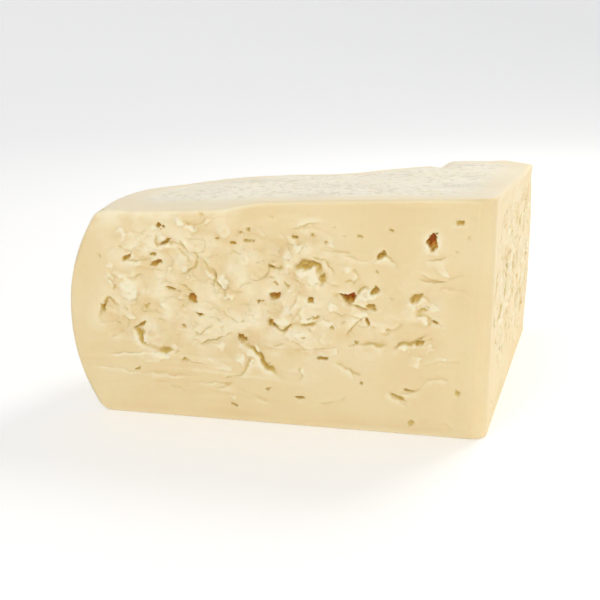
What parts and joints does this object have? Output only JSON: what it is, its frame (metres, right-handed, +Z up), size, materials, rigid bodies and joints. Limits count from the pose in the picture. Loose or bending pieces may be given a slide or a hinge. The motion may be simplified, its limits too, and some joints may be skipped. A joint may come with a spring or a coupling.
{
  "type": "quarter wheel of morlacco cheese",
  "caption": "Quarter wheel of soft white mountain cheese: two upright cut faces with crags and small openings, a bulging rind and a gently domed top.",
  "frame": {"origin": "centre of the bounding box's underside, on the flat face that the cheese rests on", "axes": "+Z up; the front cut face looks along -Y, the other cut face looks along +X and is turned 5 degrees towards -Y, and the rind curves round the -X and +Y side"},
  "size_m": [0.1782, 0.1638, 0.0909],
  "materials": {
    "paste": "moist satin"
  },
  "bodies": {
    "root": {"cheese": "paste"}
  },
  "joints": []
}
